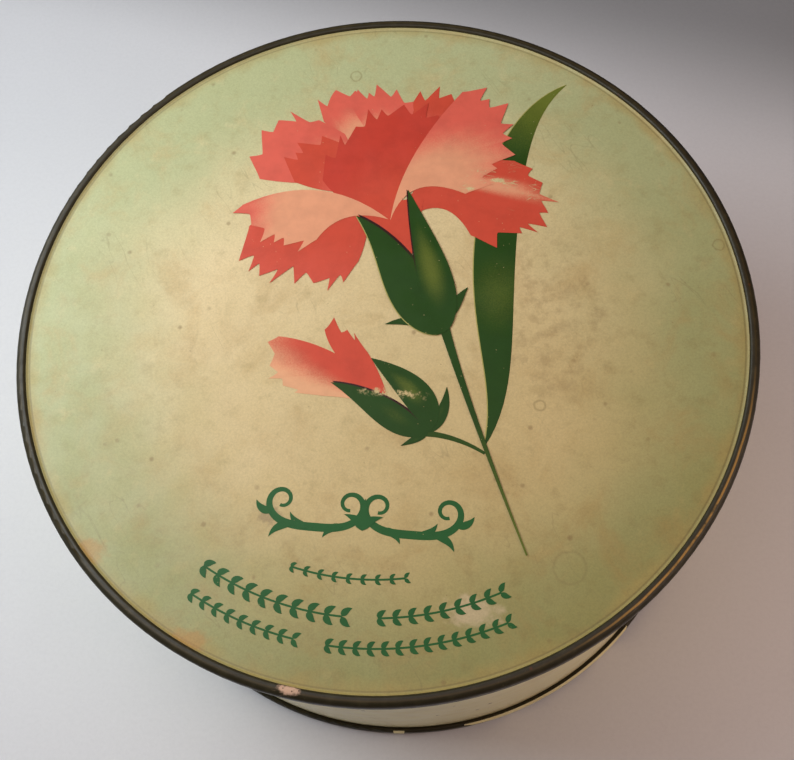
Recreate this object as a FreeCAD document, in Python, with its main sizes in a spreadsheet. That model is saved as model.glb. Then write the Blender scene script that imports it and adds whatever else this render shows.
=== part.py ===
"""Round slip-lid tin for talcum powder, with its label, powder drum, divider and puff.

+Z is up and the origin is at the centre of the resting circle of the base.  Every driving size is a cell
of the sheet "Sizes", in millimetres.  A size that follows from others is a formula in DERIVED.
The lid and the base are each a tinplate wall joined to a lacquered end by a double seam: five layers of
plate, hooked round each other, which stand out as a narrow band at the top and at the foot of the tin.
"""

import FreeCAD, Part
import math
import os
import re
import Sketcher

DRIVING = {
    # overall
    "lid_rim_radius": (57.15, "outside of the lid's seamed rim"),
    "tin_height": (62.0, "foot of the base to the crest of the lid's rim"),
    "skirt_depth": (12.5, "crest of the rim to the lower edge of the lid"),
    # plate work
    "plate": (0.28, "tinplate"),
    "seam_gap": (0.05, "air between two layers of a seam"),
    "seam_height": (2.8, "depth of a seamed rim"),
    "inner_round": (0.4, "inner rounding of a rim's crest"),
    "crest_flat": (0.2, "flat ring on a rim's crest"),
    "panel_bend": (0.5, "inside bend at the foot of an end's wall"),
    "base_sink": (3.2, "foot of the base up to its bottom panel"),
    "step_inset": (10.2, "foot of that end's wall to the raised middle of its panel"),
    "step_rise": (0.5, "how far that middle is raised"),
    "hem_height": (3.2, "folded edge at the mouth of each wall"),
    "lap_width": (6.0, "overlap of a wall's side seam"),
    "lap_margin": (0.6, "end of that overlap to a hem or a seam"),
    "slip_clearance": (0.30, "lid's hem to the wall of the base"),
    "seat_clearance": (0.20, "lid's panel to the mouth of the base"),
    # label
    "label_recess": (0.6, "crest of the rim down to the label"),
    "label_thick": (0.2, "printed paper"),
    "label_gap": (0.42, "edge of the label to the rim"),
    "board_thick": (2.2, "pasteboard under the label"),
    "board_gap": (0.05, "edge of the pasteboard to the bend of the panel"),
    # powder drum
    "drum_wall": (1.2, "wound paperboard"),
    "drum_clearance": (0.12, "drum to the hem that it passes"),
    "powder_headspace": (3.0, "heap of powder to the seal"),
    "powder_crown": (1.5, "extra depth of powder in the middle"),
    "powder_clearance": (0.15, "powder to the drum"),
    "seal_thick": (0.25, "waxed paper over the drum"),
    # divider
    "stack_gap": (0.25, "air between pieces that lie on each other"),
    "divider_thick": (1.0, "pasteboard disc"),
    "divider_clearance": (0.6, "divider to the hem that it passes"),
    "tab_inset": (18.0, "tip of the pull tab to the rim of the divider"),
    "tab_width": (14.0, "pull tab"),
    "tab_thick": (0.4, "pull tab"),
    # puff
    "puff_clearance": (8.6, "velour pad to the hem that it passes"),
    "puff_headroom": (3.7, "top of the puff to the lid's panel"),
    "pad_thick": (8.5, "velour pad"),
    "pad_round": (3.4, "rounding of the pad's rim"),
    "back_inset": (1.5, "satin back inside the rim of the pad"),
    "back_edge": (1.0, "satin back at its rim"),
    "back_crown": (3.4, "rise of the satin back in the middle"),
    "ribbon_width": (14.0, "band across the satin back"),
    "ribbon_thick": (0.6, "band"),
    "ribbon_inset": (5.0, "end of the band inside the rim of the back"),
}

DERIVED = {
    "seam_thick": "5 * plate + 4 * seam_gap",
    "seam_step": "3 * plate + 3 * seam_gap",
    "hook_round": "(3 * plate + 2 * seam_gap) / 2",
    "hook_bore": "(plate + 2 * seam_gap) / 2",
    "fold_round": "(2 * plate + seam_gap) / 2",
    "crest_round": "seam_thick - inner_round - crest_flat",
    "skirt_outer": "lid_rim_radius - seam_step",
    "skirt_hem_bore": "skirt_outer - 2 * plate - seam_gap",
    "base_outer": "skirt_hem_bore - slip_clearance",
    "base_rim_radius": "base_outer + seam_step",
    "base_hem_bore": "base_outer - 2 * plate - seam_gap",
    "lid_sink": "label_recess + label_thick + board_thick",
    "lid_under": "tin_height - lid_sink - plate",
    "base_top": "lid_under - seat_clearance",
    "lid_end_bore": "lid_rim_radius - seam_thick",
    "floor_top": "base_sink + plate",
    "step_radius": "base_rim_radius - seam_thick - panel_bend - step_inset",
    "drum_outer": "base_hem_bore - drum_clearance",
    "drum_bore": "drum_outer - drum_wall",
    "divider_stack": "seal_thick + divider_thick + tab_thick + 1.5 * stack_gap",
    "puff_stack": "pad_thick + crown_top + ribbon_thick + 2 * stack_gap",
    "drum_top": "lid_under - puff_headroom - puff_stack - divider_stack",
    "drum_height": "drum_top - floor_top",
    "seal_top": "drum_top + seal_thick",
    "divider_base": "seal_top + stack_gap",
    "divider_top": "divider_base + divider_thick",
    "divider_radius": "base_hem_bore - divider_clearance",
    "tab_length": "divider_radius - tab_inset",
    "tab_base": "divider_top + stack_gap / 2",
    "puff_base": "tab_base + tab_thick + stack_gap",
    "puff_radius": "base_hem_bore - puff_clearance",
    "back_base": "puff_base + pad_thick + stack_gap / 2",
    "back_radius": "puff_radius - back_inset",
    "crown_radius": "(back_radius^2 + back_crown^2) / (2 * back_crown)",
    "crown_top": "back_edge + back_crown",
    "ribbon_reach": "back_radius - ribbon_inset",
    "powder_radius": "drum_bore - powder_clearance",
    "powder_base": "floor_top + step_rise",
    "powder_level": "drum_height - step_rise - powder_headspace - powder_crown",
    "powder_round": "(powder_radius^2 + powder_crown^2) / (2 * powder_crown)",
}

SHEET = "Sizes"
WORD = re.compile(r"[A-Za-z_]+")
EAST, NORTH = "XZ_Plane", "YZ_Plane"    # planes through the axis, facing the side and the back
FLOOR = "XY_Plane"

doc = FreeCAD.newDocument("powder_tin")
sheet = doc.addObject("Spreadsheet::Sheet", SHEET)
for row, (name, (size, note)) in enumerate(DRIVING.items(), start=1):
    sheet.set(f"A{row}", note)
    sheet.set(f"B{row}", str(size))
    sheet.setAlias(f"B{row}", name)
doc.recompute()

parts = []      # every finished sub-part, in the order it is made


def formula(text):
    """The sheet formula for a formula in plain size names."""
    def cell(match):
        word = match.group(0)
        if word in DERIVED:
            return f"({formula(DERIVED[word])})"
        if word in DRIVING:
            return f"{SHEET}.{word}"
        if word == "sqrt":
            return word
        raise KeyError(word)
    return WORD.sub(cell, text)


def value(text):
    """The number that a formula in plain size names has now."""
    return float(sheet.evalExpression(formula(text)))


def bind(thing, prop, text):
    """Ties a property of an object to a formula in plain size names."""
    thing.setExpression(prop, formula(text))


class Outline:
    """A closed outline in a sketch through a body's own origin.

    Every corner is tied to the sheet across and up, and every arc by its radius.  An arc turns by less
    than half a circle, left when its turn is +1 and right when it is -1.
    """

    def __init__(self, body, name, plane, start):
        self.sketch = body.newObject("Sketcher::SketchObject", name)
        flat = next(f for f in body.Origin.OriginFeatures if f.Role == plane)
        self.sketch.AttachmentSupport = [(flat, "")]
        self.sketch.MapMode = "FlatFace"
        self.start = self.at = start
        self.joins = []     # (edge, its first end along the outline, its last end)
        self.corners = []

    def place(self, corner):
        return FreeCAD.Vector(value(corner[0]), value(corner[1]), 0)

    def add(self, edge, corner, ends):
        index = self.sketch.addGeometry(edge, False)
        self.joins.append((index,) + ends)
        self.corners.append(corner)
        self.at = corner
        return index

    def line(self, *corner):
        self.add(Part.LineSegment(self.place(self.at), self.place(corner)), corner, (1, 2))
        return self

    def arc(self, across, up, radius, turn):
        a, b = self.place(self.at), self.place((across, up))
        size = value(radius)
        chord = b - a
        rise = math.sqrt(max(size ** 2 - chord.Length ** 2 / 4, 0))
        left = FreeCAD.Vector(-chord.y, chord.x, 0).normalize()
        centre = (a + b) / 2 + left * (rise * turn)
        first, last = (a, b) if turn > 0 else (b, a)
        angles = [math.atan2(p.y - centre.y, p.x - centre.x) for p in (first, last)]
        circle = Part.Circle(centre, FreeCAD.Vector(0, 0, 1), size)
        ends = (1, 2) if turn > 0 else (2, 1)
        index = self.add(Part.ArcOfCircle(circle, *angles), (across, up), ends)
        self.limit("Radius", (index, size), radius)
        return self

    def limit(self, kind, reference, text):
        index = self.sketch.addConstraint(Sketcher.Constraint(kind, *reference))
        bind(self.sketch, f"Constraints[{index}]", text)

    def close(self):
        if self.at != self.start:
            self.line(*self.start)
        for (one, _, last), (two, first, _) in zip(self.joins, self.joins[1:] + self.joins[:1]):
            self.sketch.addConstraint(Sketcher.Constraint("Coincident", one, last, two, first))
        for (edge, _, last), corner in zip(self.joins, self.corners):
            for kind, text, axis in (("DistanceX", corner[0], -2), ("DistanceY", corner[1], -1)):
                if text == "0":
                    self.sketch.addConstraint(Sketcher.Constraint("PointOnObject", edge, last, axis))
                else:
                    self.limit(kind, (-1, 1, edge, last, value(text)), text)
        return self.sketch


def new_body(label, height="0"):
    body = doc.addObject("PartDesign::Body", label)
    body.Label = label
    if height != "0":
        bind(body, ".Placement.Base.z", height)
    parts.append(body)
    return body


def turned(body, sketch, angle="360"):
    """A solid of revolution about the tin's axis, even to both sides of its sketch."""
    solid = body.newObject("PartDesign::Revolution", sketch.Name + "_turned")
    solid.Profile = sketch
    solid.ReferenceAxis = (sketch, ["V_Axis"])
    solid.Midplane = True
    bind(solid, "Angle", angle)
    return solid


def disc(label, radius, thick, height):
    """A flat round piece, its lower face at the given height."""
    piece = doc.addObject("Part::Cylinder", label)
    piece.Label = label
    bind(piece, "Radius", radius)
    bind(piece, "Height", thick)
    bind(piece, ".Placement.Base.z", height)
    parts.append(piece)


class Seam:
    """Radii and depths of a double seam whose crest is at the body's origin.

    side is +1 where the crest is the highest point, as on the lid, and -1 where it is the lowest.
    Depth is counted from the crest into the tin.
    """

    def __init__(self, rim, side):
        self.rim, self.side = rim, side

    def up(self, depth):
        return depth if depth == "0" else ("-" if self.side > 0 else "") + f"({depth})"

    def layer(self, plates, gaps):
        return f"{self.rim} - {plates} * plate - {gaps} * seam_gap"

    def go(self, outline, *steps):
        """Adds steps: (across, depth) is a line, and (across, depth, radius, turn) an arc."""
        for across, depth, *bend in steps:
            if bend:
                outline.arc(across, self.up(depth), bend[0], bend[1] * self.side)
            else:
                outline.line(across, self.up(depth))


def seamed_end(label, rim, side, sink, rise, height="0"):
    """A sunk panel whose edge rises, rolls over the crest and hooks back up inside the seam."""
    seam = Seam(rim, side)
    body = new_body(label, height)
    bore, back = seam.layer(5, 4), seam.layer(4, 4)             # inner and outer face of the end's wall
    foot = f"{bore} - panel_bend"
    under = f"{sink} + plate"
    hook_in, hook_out = seam.layer(3, 2), seam.layer(2, 2)
    turn = "seam_height - hook_round"                           # depth at which the lower bend starts
    tip = "crest_round + seam_gap"
    middle, slope = "step_radius", f"step_radius + {rise}"
    outline = Outline(body, label + "_section", EAST, ("0", seam.up(f"{sink} + {rise}")))
    if rise == "0":
        outline.start = outline.at = ("0", seam.up(sink))
    else:
        seam.go(outline, (middle, f"{sink} + {rise}"), (slope, sink))
    seam.go(
        outline,
        (foot, sink),
        (bore, f"{sink} - panel_bend", "panel_bend", +1),
        (bore, "inner_round"),
        (f"{bore} + inner_round", "0", "inner_round", -1),
        (f"{rim} - crest_round", "0"),
        (rim, "crest_round", "crest_round", -1),
        (rim, turn),
        (f"{rim} - hook_round", "seam_height", "hook_round", -1),
        (hook_in, turn, "hook_round", -1),
        (hook_in, tip),
        (hook_out, tip),
        (hook_out, turn),
        (f"{hook_out} + hook_bore", f"{turn} + hook_bore", "hook_bore", +1),
        (f"{rim} - plate", turn, "hook_bore", +1),
        (f"{rim} - plate", "crest_round"),
        (f"{rim} - crest_round", "plate", "crest_round - plate", +1),
        (f"{bore} + inner_round", "plate"),
        (back, "inner_round", "inner_round - plate", +1),
        (back, f"{sink} - panel_bend"),
        (foot, under, "panel_bend + plate", -1),
    )
    if rise != "0":
        seam.go(outline, (slope, under), (middle, f"{under} + {rise}"))
        seam.go(outline, ("0", f"{under} + {rise}"))
    else:
        seam.go(outline, ("0", under))
    turned(body, outline.close())


def seamed_wall(label, rim, side, sink, depth, height="0"):
    """A wall that hooks into the seam at one edge and is folded inwards at the other, with a lapped seam."""
    seam = Seam(rim, side)
    body = new_body(label, height)
    bore, face = seam.layer(4, 3), seam.layer(3, 3)
    hook_in, hook_out = seam.layer(2, 1), seam.layer(1, 1)
    tip = "seam_height - hook_round"
    fold = f"{depth} - fold_round"
    fold_top = f"{depth} - hem_height"
    fold_bore, fold_back = f"{face} - 2 * fold_round", f"{bore} - seam_gap"
    outline = Outline(body, label + "_section", EAST, (bore, seam.up("crest_round")))
    seam.go(
        outline,
        (f"{bore} + hook_round", "crest_round - hook_round", "hook_round", -1),
        (hook_out, "crest_round", "hook_round", -1),
        (hook_out, tip),
        (hook_in, tip),
        (hook_in, "crest_round"),
        (f"{hook_in} - hook_bore", "crest_round - hook_bore", "hook_bore", +1),
        (face, "crest_round", "hook_bore", +1),
        (face, fold),
        (f"{face} - fold_round", depth, "fold_round", -1),
        (fold_bore, fold, "fold_round", -1),
        (fold_bore, fold_top),
        (fold_back, fold_top),
        (fold_back, fold),
        (bore, fold),
    )
    turned(body, outline.close())
    lap_in = f"{bore} - plate"
    lap_start, lap_end = f"{sink} + plate + lap_margin", f"{fold_top} - lap_margin"
    lap = Outline(body, label + "_lap_section", NORTH, (lap_in, seam.up(lap_start)))
    middle_of_wall = f"{bore} + plate / 2"
    seam.go(lap, (lap_in, lap_end), (middle_of_wall, lap_end), (middle_of_wall, lap_start))
    turned(body, lap.close(), f"lap_width / ({bore}) * 57.29578")


def drum():
    """The paperboard tube that stands on the bottom panel and holds the powder."""
    body = new_body("powder_drum", "floor_top")
    tube = Outline(body, "powder_drum_section", EAST, ("drum_bore", "0"))
    tube.line("drum_outer", "0").line("drum_outer", "drum_height").line("drum_bore", "drum_height")
    turned(body, tube.close())


def powder():
    """The talc, a little heaped in the middle."""
    body = new_body("powder_bed", "powder_base")
    heap = Outline(body, "powder_bed_section", EAST, ("0", "0"))
    heap.line("powder_radius", "0").line("powder_radius", "powder_level")
    heap.arc("0", "powder_level + powder_crown", "powder_round", +1)
    turned(body, heap.close())


def divider():
    """A loose disc that keeps the puff off the powder, with a tab to lift it by."""
    disc("divider_card", "divider_radius", "divider_thick", "divider_base")
    body = new_body("divider_tab", "tab_base")
    half = "tab_width / 2"
    strip = Outline(body, "divider_tab_outline", FLOOR, (half, "0"))
    strip.line(half, f"tab_length - {half}")
    strip.arc("0", "tab_length", half, +1).arc(f"-({half})", f"tab_length - {half}", half, +1)
    strip.line(f"-({half})", "0")
    pad = body.newObject("PartDesign::Pad", "divider_tab_strip")
    pad.Profile = strip.close()
    bind(pad, "Length", "tab_thick")


def puff():
    """A velour pad with a satin back and a ribbon band across it."""
    body = new_body("puff_pad", "puff_base")
    flat = "puff_radius - pad_round"
    pad = Outline(body, "puff_pad_section", EAST, ("0", "0"))
    pad.line(flat, "0").arc("puff_radius", "pad_round", "pad_round", +1)
    pad.line("puff_radius", "pad_thick - pad_round").arc(flat, "pad_thick", "pad_round", +1)
    pad.line("0", "pad_thick")
    turned(body, pad.close())

    body = new_body("puff_back", "back_base")
    back = Outline(body, "puff_back_section", EAST, ("0", "0"))
    back.line("back_radius", "0").line("back_radius", "back_edge")
    back.arc("0", "crown_top", "crown_radius", +1)
    turned(body, back.close())

    body = new_body("puff_ribbon", "back_base + crown_top - crown_radius + stack_gap / 2")
    inner, outer = "crown_radius", "crown_radius + ribbon_thick"
    drop = "sqrt(crown_radius^2 - ribbon_reach^2)"
    far = f"ribbon_reach * ({outer}) / crown_radius"
    far_up = f"{drop} * ({outer}) / crown_radius"
    band = Outline(body, "puff_ribbon_section", EAST, ("ribbon_reach", drop))
    band.line(far, far_up).arc(f"-({far})", far_up, outer, +1)
    band.line("-(ribbon_reach)", drop).arc("ribbon_reach", drop, inner, -1)
    strip = body.newObject("PartDesign::Pad", "puff_ribbon_band")
    strip.Profile = band.close()
    strip.Midplane = True
    bind(strip, "Length", "ribbon_width")


seamed_end("lid_end", "lid_rim_radius", +1, "lid_sink", "0", "tin_height")
seamed_wall("lid_skirt", "lid_rim_radius", +1, "lid_sink", "skirt_depth", "tin_height")
disc("lid_board", "lid_end_bore - panel_bend - board_gap", "board_thick", "tin_height - lid_sink")
disc("lid_label", "lid_end_bore - label_gap", "label_thick", "tin_height - label_recess - label_thick")
seamed_wall("base_wall", "base_rim_radius", -1, "base_sink", "base_top")
seamed_end("base_bottom", "base_rim_radius", -1, "base_sink", "step_rise")
drum()
powder()
disc("powder_seal", "drum_outer", "seal_thick", "drum_top")
divider()
puff()
doc.recompute()

for thing in doc.Objects:
    if {"Invalid", "Error"} & set(thing.State):
        raise RuntimeError(f"{thing.Label}: {thing.State}")
os.makedirs("parts", exist_ok=True)
for part in parts:
    shape = part.Shape
    if shape.isNull() or not shape.isValid() or len(shape.Solids) != 1:
        raise RuntimeError(f"{part.Label} isn't one whole solid")
    shape.exportStep(f"parts/{part.Label}.step")
    print(f"{part.Label:14s} {shape.Volume / 1000:9.3f} cm3  "
          f"z {shape.BoundBox.ZMin:7.2f} to {shape.BoundBox.ZMax:7.2f}  r {shape.BoundBox.XMax:6.2f}")
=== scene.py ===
import math

import bmesh
import bpy
import numpy as np
from bpy.props import FloatProperty, FloatVectorProperty, IntProperty, PointerProperty
from mathutils import Matrix, Vector


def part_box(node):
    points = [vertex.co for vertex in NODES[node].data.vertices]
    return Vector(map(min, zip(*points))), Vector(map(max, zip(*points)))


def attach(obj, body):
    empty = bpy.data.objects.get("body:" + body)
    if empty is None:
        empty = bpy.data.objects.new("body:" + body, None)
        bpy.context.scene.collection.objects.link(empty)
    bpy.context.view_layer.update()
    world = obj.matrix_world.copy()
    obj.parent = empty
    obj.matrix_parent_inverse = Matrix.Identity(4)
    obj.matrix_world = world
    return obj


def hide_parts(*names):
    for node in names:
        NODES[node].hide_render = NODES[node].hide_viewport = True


bl_info = {
    "name": "Talcum powder tin",
    "version": (1, 0, 0),
    "blender": (4, 5, 0),
    "location": "3D View > Sidebar > Powder tin",
    "description": "Finishes, printed label and soft pieces of a round talcum powder tin",
    "category": "Object",
}

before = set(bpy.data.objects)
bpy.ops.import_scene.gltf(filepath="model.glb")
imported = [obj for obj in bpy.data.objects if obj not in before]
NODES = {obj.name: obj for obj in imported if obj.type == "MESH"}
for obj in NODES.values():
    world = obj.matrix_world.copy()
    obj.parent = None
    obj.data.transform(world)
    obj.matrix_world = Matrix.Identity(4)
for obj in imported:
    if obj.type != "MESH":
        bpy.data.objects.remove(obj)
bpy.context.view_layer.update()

MM = 0.001
QUARTER_TURN = math.pi / 2
FULL_TURN = 2 * math.pi


def box_of(node):
    """A node's lowest and highest corners, in mm."""
    return [np.array(corner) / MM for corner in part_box(node)]


def top_of(node):
    """Height of a node's highest point, in mm."""
    return box_of(node)[1][2]


def reach_of(node):
    """A round node's outer radius, in mm."""
    return box_of(node)[1][0]


LABEL_TOP = top_of("lid_label")
LABEL_FOOT = box_of("lid_label")[0][2]
LABEL_RADIUS = reach_of("lid_label")
RIM_RADIUS = reach_of("lid_end")
FOOT_RADIUS = reach_of("base_bottom")
WALL_RADIUS = reach_of("base_wall")


def ink(red, green, blue):
    """A colour as it is read off a colour card, as the linear values that Blender mixes."""
    card = np.array([red, green, blue]) / 255
    return tuple(np.where(card <= 0.04045, card / 12.92, ((card + 0.055) / 1.055) ** 2.4))


def times(tone, factor):
    """A colour with each of its parts times factor, held under 1."""
    return tuple(min(1.0, factor * part) for part in tone)


def colour(name, description, default):
    """A colour that a user may change."""
    return FloatVectorProperty(
        name=name, description=description, default=default, subtype="COLOR", size=3, min=0, max=1
    )


def share(name, description, default, most=1.0):
    """A plain number that a user may change, from none to most."""
    return FloatProperty(name=name, description=description, default=default, min=0, max=most)


def length(name, description, default):
    """A length that a user may change."""
    return FloatProperty(
        name=name, description=description, default=default, unit="LENGTH", precision=5
    )


class PrintSettings(bpy.types.PropertyGroup):
    """Inks and paper of the lid's label."""

    cream: colour("Cream", "Middle of the label's paper", ink(236, 214, 164))
    pale_green: colour("Pale green", "Airbrushed border of the label", ink(186, 190, 140))
    # painted shade: this tone multiplies the paper darker and browner towards the lower right, where the
    # light falls off
    painted_shade_tone: colour("Toning", "Browning of the lower side, which multiplies the paper", (0.56, 0.49, 0.27))
    coral: colour("Coral", "Deep petals", ink(207, 78, 56))
    light_coral: colour("Light coral", "Outer petals", ink(222, 100, 82))
    salmon: colour("Salmon", "Turned petals", ink(231, 161, 122))
    leaf: colour("Leaf", "Dark side of the leaves", ink(37, 70, 18))
    leaf_light: colour("Leaf light", "Glow on the leaves", ink(106, 116, 42))
    edge_light: colour("Edge light", "Thin line along a leaf's lit side", ink(172, 164, 92))
    shade_line: colour("Shade line", "Thin dark line where a leaf meets a petal", ink(52, 22, 20))
    ornament: colour("Ornament", "Flourish and garland", ink(36, 92, 42))
    lift: length("Ink step", "Height of one layer of ink over the last", 0.012 * MM)
    age: share("Age", "Strength of stains, foxing and scuffs", 1.0, 2.0)


class MetalSettings(bpy.types.PropertyGroup):
    """Lacquer and enamel of the tinplate."""

    lacquer: colour("Lacquer", "Dark bronze lacquer of both ends", ink(47, 42, 26))
    brass: colour("Rubbed crest", "Metal where the lacquer is rubbed thin", ink(176, 138, 78))
    enamel: colour("Enamel", "Cream enamel of the walls", ink(250, 240, 190))
    rust: colour("Rust", "Rust at bare spots", ink(104, 58, 30))
    rubbed: share("Rubbed", "How far the crest is rubbed", 1.0, 2.0)
    coat: length("Coat", "Thickness of the enamel that runs over the foot", 0.05 * MM)


class FillingSettings(bpy.types.PropertyGroup):
    """Board, paper and powder inside."""

    board: colour("Board", "Grey-brown pasteboard", ink(170, 148, 116))
    talc: colour("Talc", "Loose powder", ink(240, 238, 233))
    waxed: colour("Waxed paper", "Seal over the powder", ink(222, 208, 172))
    tape: colour("Tape", "Lifting tape", ink(60, 110, 76))


class PuffSettings(bpy.types.PropertyGroup):
    """The powder puff."""

    pile: colour("Pile", "Velour pad", ink(232, 196, 184))
    satin: colour("Satin", "Gathered back", ink(222, 150, 136))
    ribbon: colour("Ribbon", "Band across the back", ink(60, 112, 74))
    swell: length("Swell", "Most that the pad swells from its cut shape", 0.9 * MM)
    gathers: IntProperty(name="Gathers", description="Folds round the back", default=44, min=8, max=90)


class StageSettings(bpy.types.PropertyGroup):
    """Floor, light and camera."""

    floor: colour("Floor", "Pale floor", ink(226, 226, 228))
    window: FloatProperty(
        name="Window", description="Power of the window lamp, which the others follow",
        default=0.40, unit="POWER",
    )
    lens: FloatProperty(name="Lens", description="Focal length", default=51.17, subtype="DISTANCE_CAMERA")


# ---------------------------------------------------------------- materials


class Wire:
    """One output of a node tree. Arithmetic on it adds Math nodes."""

    def __init__(self, finish, socket):
        self.finish, self.socket = finish, socket

    def maths(self, operation, *others, clamp=False):
        sockets = dict(enumerate([self, *others]))
        return self.finish.add(
            "ShaderNodeMath", {"operation": operation, "use_clamp": clamp}, sockets
        )

    def __add__(self, other):
        return self.maths("ADD", other)

    __radd__ = __add__

    def __mul__(self, other):
        return self.maths("MULTIPLY", other)

    __rmul__ = __mul__

    def __sub__(self, other):
        return self.maths("SUBTRACT", other)

    def __rsub__(self, other):
        return (self * -1) + other

    def __truediv__(self, other):
        return self.maths("DIVIDE", other)

    def __pow__(self, other):
        return self.maths("POWER", other)

    def __abs__(self):
        return self.maths("ABSOLUTE")

    def clipped(self):
        return self.maths("ADD", 0, clamp=True)

    def most(self, other):
        return self.maths("MAXIMUM", other)


class Finish:
    """One material. add() puts in any node; the rest are the patterns that this tin uses, in mm."""

    def __init__(self, name):
        self.material = bpy.data.materials.new(name)
        self.material.use_nodes = True
        self.tree = self.material.node_tree
        self.tree.nodes.clear()
        place = self.add("ShaderNodeTexCoord", output="Object")
        self.place = self.scaled(place, (1 / MM,) * 3)
        self.x, self.y, self.z = (
            self.add("ShaderNodeSeparateXYZ", None, {0: self.place}, output=axis) for axis in "XYZ"
        )
        self.radius = (self.x * self.x + self.y * self.y) ** 0.5
        self.angle = self.y.maths("ARCTAN2", self.x)

    def add(self, kind, settings=None, sockets=None, output=0):
        """Adds a node of that type: its settings first, then the values or links of its sockets."""
        node = self.tree.nodes.new(kind)
        for name, value in (settings or {}).items():
            setattr(node, name, value)
        for name, value in (sockets or {}).items():
            if isinstance(value, Wire):
                self.tree.links.new(value.socket, node.inputs[name])
            elif isinstance(value, tuple) and node.inputs[name].type == "RGBA":
                node.inputs[name].default_value = (*value[:3], 1)
            else:
                node.inputs[name].default_value = value
        return Wire(self, node.outputs[output])

    def scaled(self, vector, factors):
        return self.add("ShaderNodeVectorMath", {"operation": "MULTIPLY"}, {0: vector, 1: factors})

    def moved(self, vector, step):
        return self.add("ShaderNodeVectorMath", {"operation": "ADD"}, {0: vector, 1: step})

    def noise(self, size, detail=2.0, rough=0.5, twist=0.0, at=None, shift=None):
        """Soft noise whose lumps are about size mm across, from 0 to 1. A shift gives other lumps."""
        at = self.place if at is None else at
        values = {
            "Vector": self.moved(at, shift) if shift else at,
            "Scale": 1 / size,
            "Detail": detail,
            "Roughness": rough,
            "Distortion": twist,
        }
        return self.add("ShaderNodeTexNoise", None, values)

    def patches(self, size, low, high, *shape, **more):
        """Noise cut into patches: 0 where it is below low, 1 where it is above high."""
        return self.ramp(self.noise(size, *shape, **more), low, high)

    def cells(self, size, shift=None):
        """Distance to the nearest of scattered points, which are about size mm apart."""
        at = self.moved(self.place, shift) if shift else self.place
        return self.add("ShaderNodeTexVoronoi", None, {"Vector": at, "Scale": 1 / size})

    def specks(self, size, far, near, shift=None):
        """Specks round scattered points: 0 beyond far and 1 within near, as shares of size."""
        return self.ramp(self.cells(size, shift), far, near)

    def ramp(self, value, low, high):
        """0 below low, 1 above high, smooth between; low may be the larger."""
        values = {0: value, 1: low, 2: high, 3: 0.0, 4: 1.0}
        return self.add("ShaderNodeMapRange", {"interpolation_type": "SMOOTHSTEP"}, values)

    def mix(self, factor, first, second, blend="MIX"):
        """Two colours in the share that factor says."""
        settings = {"data_type": "RGBA", "blend_type": blend, "clamp_factor": True}
        return self.add("ShaderNodeMix", settings, {0: factor, 6: first, 7: second}, output=2)

    def darker(self, base, amount):
        """A colour times one minus amount."""
        return self.mix(amount, base, (0.0, 0.0, 0.0))

    def off(self, x, y, wide=1.0, high=1.0):
        """Distance from a point of the plan, measured in half widths and half heights."""
        across, up = (self.x - x) / wide, (self.y - y) / high
        return (across * across + up * up) ** 0.5

    def blot(self, x, y, wide, high, ragged=0.5, lump=2.0):
        """A stain with a ragged outline round a point of the plan, 1 in its middle."""
        uneven = (self.noise(lump, 4.0, 0.6) - 0.5) * (2 * ragged)
        return self.ramp(self.off(x, y, wide, high) + uneven, 1.0, 0.35)

    def ring(self, x, y, radius, width):
        """A thin ring, such as a drop leaves when it dries."""
        near = abs(self.off(x, y) - radius + (self.noise(1.1) - 0.5) * 0.5)
        return self.ramp(near, width, 0.0)

    def scratches(self, turn, size=7.0, thin=0.02, stretch=14.0):
        """Hair lines that run one way: the places where a stretched noise passes its middle value."""
        turned = self.add(
            "ShaderNodeVectorRotate", {"rotation_type": "Z_AXIS"}, {"Vector": self.place, "Angle": turn}
        )
        drawn = self.noise(size, 1.0, 0.4, 0.3, at=self.scaled(turned, (1.0, stretch, 1.0)))
        return self.ramp(abs(drawn - 0.5), thin, 0.0)

    def stained(self, base, *stains):
        """A colour with stains over it, one after the other: each is a factor and a colour."""
        for factor, tone in stains:
            base = self.mix(factor, base, tone)
        return base

    def surface(self, base, rough, height, depth, strength, **others):
        """The shader and the output, with a relief whose height of 0 to 1 stands for depth mm.
        Other sockets are given by name, with _ for a space."""
        values = {"Strength": strength, "Distance": depth * MM, "Height": height}
        normal = self.add("ShaderNodeBump", None, values, output="Normal")
        sockets = {"Base Color": base, "Roughness": rough, "Normal": normal}
        sockets.update((name.replace("_", " "), value) for name, value in others.items())
        shader = self.add("ShaderNodeBsdfPrincipled", None, sockets)
        out = self.tree.nodes.new("ShaderNodeOutputMaterial")
        self.tree.links.new(shader.socket, out.inputs["Surface"])
        return self.material


def wear(node, material):
    """Gives a CAD node its finish."""
    slots = NODES[node].data.materials
    slots.clear()
    slots.append(material)


# ---------------------------------------------------------------- shapes


def curve(along, *controls):
    """A Bezier curve of any degree: the controls mixed by Bernstein's weights of along, from 0 to 1."""
    degree = len(controls) - 1
    weights = [
        math.comb(degree, i) * along**i * (1 - along) ** (degree - i) for i in range(degree + 1)
    ]
    return sum(w[..., None] * np.asarray(c, float) for w, c in zip(weights, controls))


def grid_faces(rows, columns, closed=False):
    """Four-sided faces of a grid of points, row after row; closed joins its last column to its first."""
    index = np.arange(rows * columns).reshape(rows, columns)
    if closed:
        index = np.concatenate([index, index[:, :1]], axis=1)
    corners = [index[:-1, :-1], index[:-1, 1:], index[1:, 1:], index[1:, :-1]]
    return np.stack(corners, axis=-1).reshape(-1, 4)


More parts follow.
